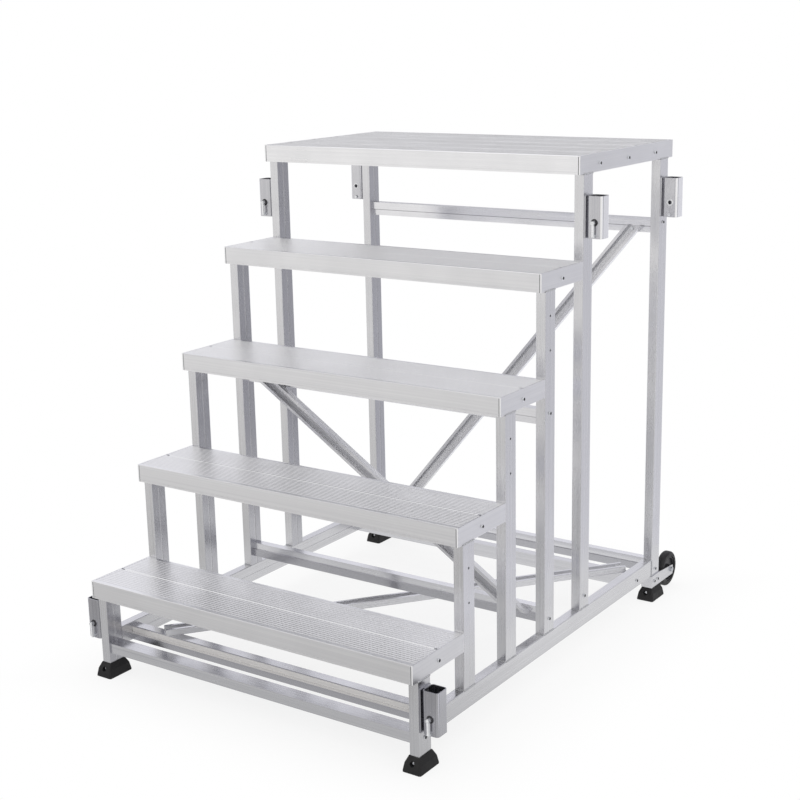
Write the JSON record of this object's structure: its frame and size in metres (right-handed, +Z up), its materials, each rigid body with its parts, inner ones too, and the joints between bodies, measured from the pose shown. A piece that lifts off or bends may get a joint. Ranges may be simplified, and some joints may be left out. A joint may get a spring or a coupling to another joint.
{
  "type": "step platform",
  "caption": "Aluminium step platform with ribbed treads on a tube frame, handrail sockets with drop-nose pins, rubber feet and transport wheels",
  "frame": {"origin": "on the floor under the middle of the overall box", "axes": "+Z up, +Y from the first step towards the platform, +X to the right for a person facing the steps"},
  "size_m": [1.249, 1.616, 1.506],
  "materials": {
    "frame_aluminium": "bare extruded tube, semi-gloss",
    "ribbed_aluminium": "bare extruded plank with ribs, semi-gloss",
    "rail_aluminium": "bare extruded section, semi-gloss",
    "foot_rubber": "matte moulded rubber",
    "tyre_rubber": "matte solid tyre",
    "hub_plastic": "matte moulded plastic",
    "zinc_steel": "zinc-plated"
  },
  "bodies": {
    "frame": {"base_rail_left": "frame_aluminium", "base_rail_right": "frame_aluminium", "front_leg_left": "frame_aluminium", "front_leg_right": "frame_aluminium", "post_2_left": "frame_aluminium", "post_2_right": "frame_aluminium", "post_3_left": "frame_aluminium", "post_3_right": "frame_aluminium", "post_4_left": "frame_aluminium", "post_4_right": "frame_aluminium", "post_5_left": "frame_aluminium", "post_5_right": "frame_aluminium", "rear_leg_left": "frame_aluminium", "rear_leg_right": "frame_aluminium", "tread_1_planks": "ribbed_aluminium", "tread_2_planks": "ribbed_aluminium", "tread_3_planks": "ribbed_aluminium", "tread_4_planks": "ribbed_aluminium", "platform_planks": "ribbed_aluminium", "tread_1_end_caps": "frame_aluminium", "tread_2_end_caps": "frame_aluminium", "tread_3_end_caps": "frame_aluminium", "tread_4_end_caps": "frame_aluminium", "platform_end_caps": "frame_aluminium", "middle_low_rail": "rail_aluminium", "middle_high_rail": "rail_aluminium", "rear_high_rail": "rail_aluminium", "rear_low_rail": "rail_aluminium", "front_low_rail": "frame_aluminium", "front_base_rail": "frame_aluminium", "rear_base_rail": "frame_aluminium", "middle_brace": "rail_aluminium", "rear_brace": "rail_aluminium", "floor_brace": "rail_aluminium", "foot_front_left": "foot_rubber", "foot_front_right": "foot_rubber", "foot_rear_left": "foot_rubber", "foot_rear_right": "foot_rubber", "socket_front_left": "frame_aluminium", "socket_front_right": "frame_aluminium", "socket_top_left": "frame_aluminium", "socket_top_right": "frame_aluminium", "socket_rear_left": "frame_aluminium", "socket_rear_right": "frame_aluminium", "locking_pins": "zinc_steel", "nose_pivots": "zinc_steel", "wheel_forks": "frame_aluminium", "wheel_axles": "zinc_steel", "rivets": "zinc_steel", "socket_screws": "zinc_steel", "hex_bolts": "zinc_steel"},
    "wheel_left": {"wheel_hub_left": "hub_plastic", "wheel_tyre_left": "tyre_rubber"},
    "wheel_right": {"wheel_hub_right": "hub_plastic", "wheel_tyre_right": "tyre_rubber"},
    "pin_nose_front_left": {"nose_front_left": "zinc_steel"},
    "pin_nose_front_right": {"nose_front_right": "zinc_steel"},
    "pin_nose_top_left": {"nose_top_left": "zinc_steel"},
    "pin_nose_top_right": {"nose_top_right": "zinc_steel"}
  },
  "joints": [
    {"name": "wheel_left_spin", "type": "hinge", "parent": "frame", "child": "wheel_left", "pos_m": [-0.5535, 0.749, 0.063], "axis": [1, 0, 0], "continuous": true},
    {"name": "wheel_right_spin", "type": "hinge", "parent": "frame", "child": "wheel_right", "pos_m": [0.5535, 0.749, 0.063], "axis": [1, 0, 0], "continuous": true},
    {"name": "nose_front_left_swing", "type": "hinge", "parent": "frame", "child": "pin_nose_front_left", "pos_m": [-0.6005, -0.7895, 0.1565], "axis": [-1, 0, 0], "range_deg": [0, 90]},
    {"name": "nose_front_right_swing", "type": "hinge", "parent": "frame", "child": "pin_nose_front_right", "pos_m": [0.6005, -0.7895, 0.1565], "axis": [-1, 0, 0], "range_deg": [0, 90]},
    {"name": "nose_top_left_swing", "type": "hinge", "parent": "frame", "child": "pin_nose_top_left", "pos_m": [-0.6005, 0.0905, 1.3175], "axis": [-1, 0, 0], "range_deg": [0, 90]},
    {"name": "nose_top_right_swing", "type": "hinge", "parent": "frame", "child": "pin_nose_top_right", "pos_m": [0.6005, 0.0905, 1.3175], "axis": [-1, 0, 0], "range_deg": [0, 90]}
  ]
}
